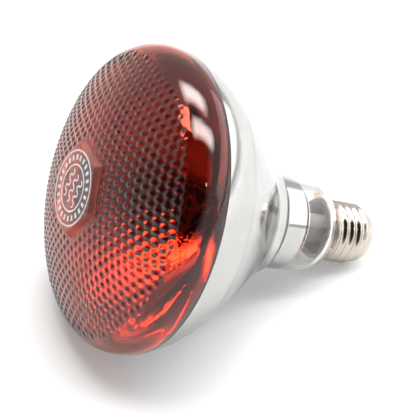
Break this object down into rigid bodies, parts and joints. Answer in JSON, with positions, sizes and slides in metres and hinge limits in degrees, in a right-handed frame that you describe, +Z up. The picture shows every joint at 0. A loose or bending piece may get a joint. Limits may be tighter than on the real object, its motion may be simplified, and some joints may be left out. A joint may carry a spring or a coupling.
{
  "type": "infrared heat lamp",
  "caption": "Infrared reflector heat lamp with a dimpled red glass lens, raised hexagonal badge, silvered bulb, clear neck and nickel-plated screw cap, lying on its side.",
  "frame": {"origin": "on the surface the lamp lies on, under the middle of its bounding box", "axes": "+Z up; +X along the lamp's axis as seen from above, from the lens towards the cap; +Y across. The lamp's own axis dips 25.24 degrees below +X, because it lies on its belly and on the end of its cap"},
  "size_m": [0.1404, 0.1214, 0.114],
  "materials": {
    "red_glass": "pressed red glass, polished, dimpled",
    "clear_glass": "clear polished glass",
    "print_ink": "fired white print",
    "seal_glass": "dark fired sealing glass",
    "mirror_film": "evaporated aluminium, mirror bright",
    "shield_metal": "bright rolled aluminium",
    "wire_nickel": "drawn nickel wire",
    "tungsten": "dull grey tungsten",
    "cement": "brown basing cement",
    "cap_nickel": "nickel-plated rolled brass, satin",
    "black_glass": "black glass insulator, glossy",
    "contact_brass": "bright brass",
    "solder": "soft solder, dull bright"
  },
  "bodies": {
    "root": {"front_lens": "red_glass", "reflector_bulb": "clear_glass", "glass_stem": "clear_glass", "exhaust_tube": "clear_glass", "glass_arbor": "clear_glass", "lead_fuse": "clear_glass", "badge_print": "print_ink", "rim_seal": "seal_glass", "mirror_coating": "mirror_film", "heat_shield": "shield_metal", "lead_wire_left": "wire_nickel", "lead_wire_right": "wire_nickel", "filament_clamps": "wire_nickel", "centre_lead": "wire_nickel", "side_lead": "wire_nickel", "filament": "tungsten", "filament_supports": "tungsten", "basing_cement": "cement", "cap_shell": "cap_nickel", "cap_insulator": "black_glass", "centre_contact": "contact_brass", "centre_solder": "solder", "side_solder": "solder"}
  },
  "joints": []
}
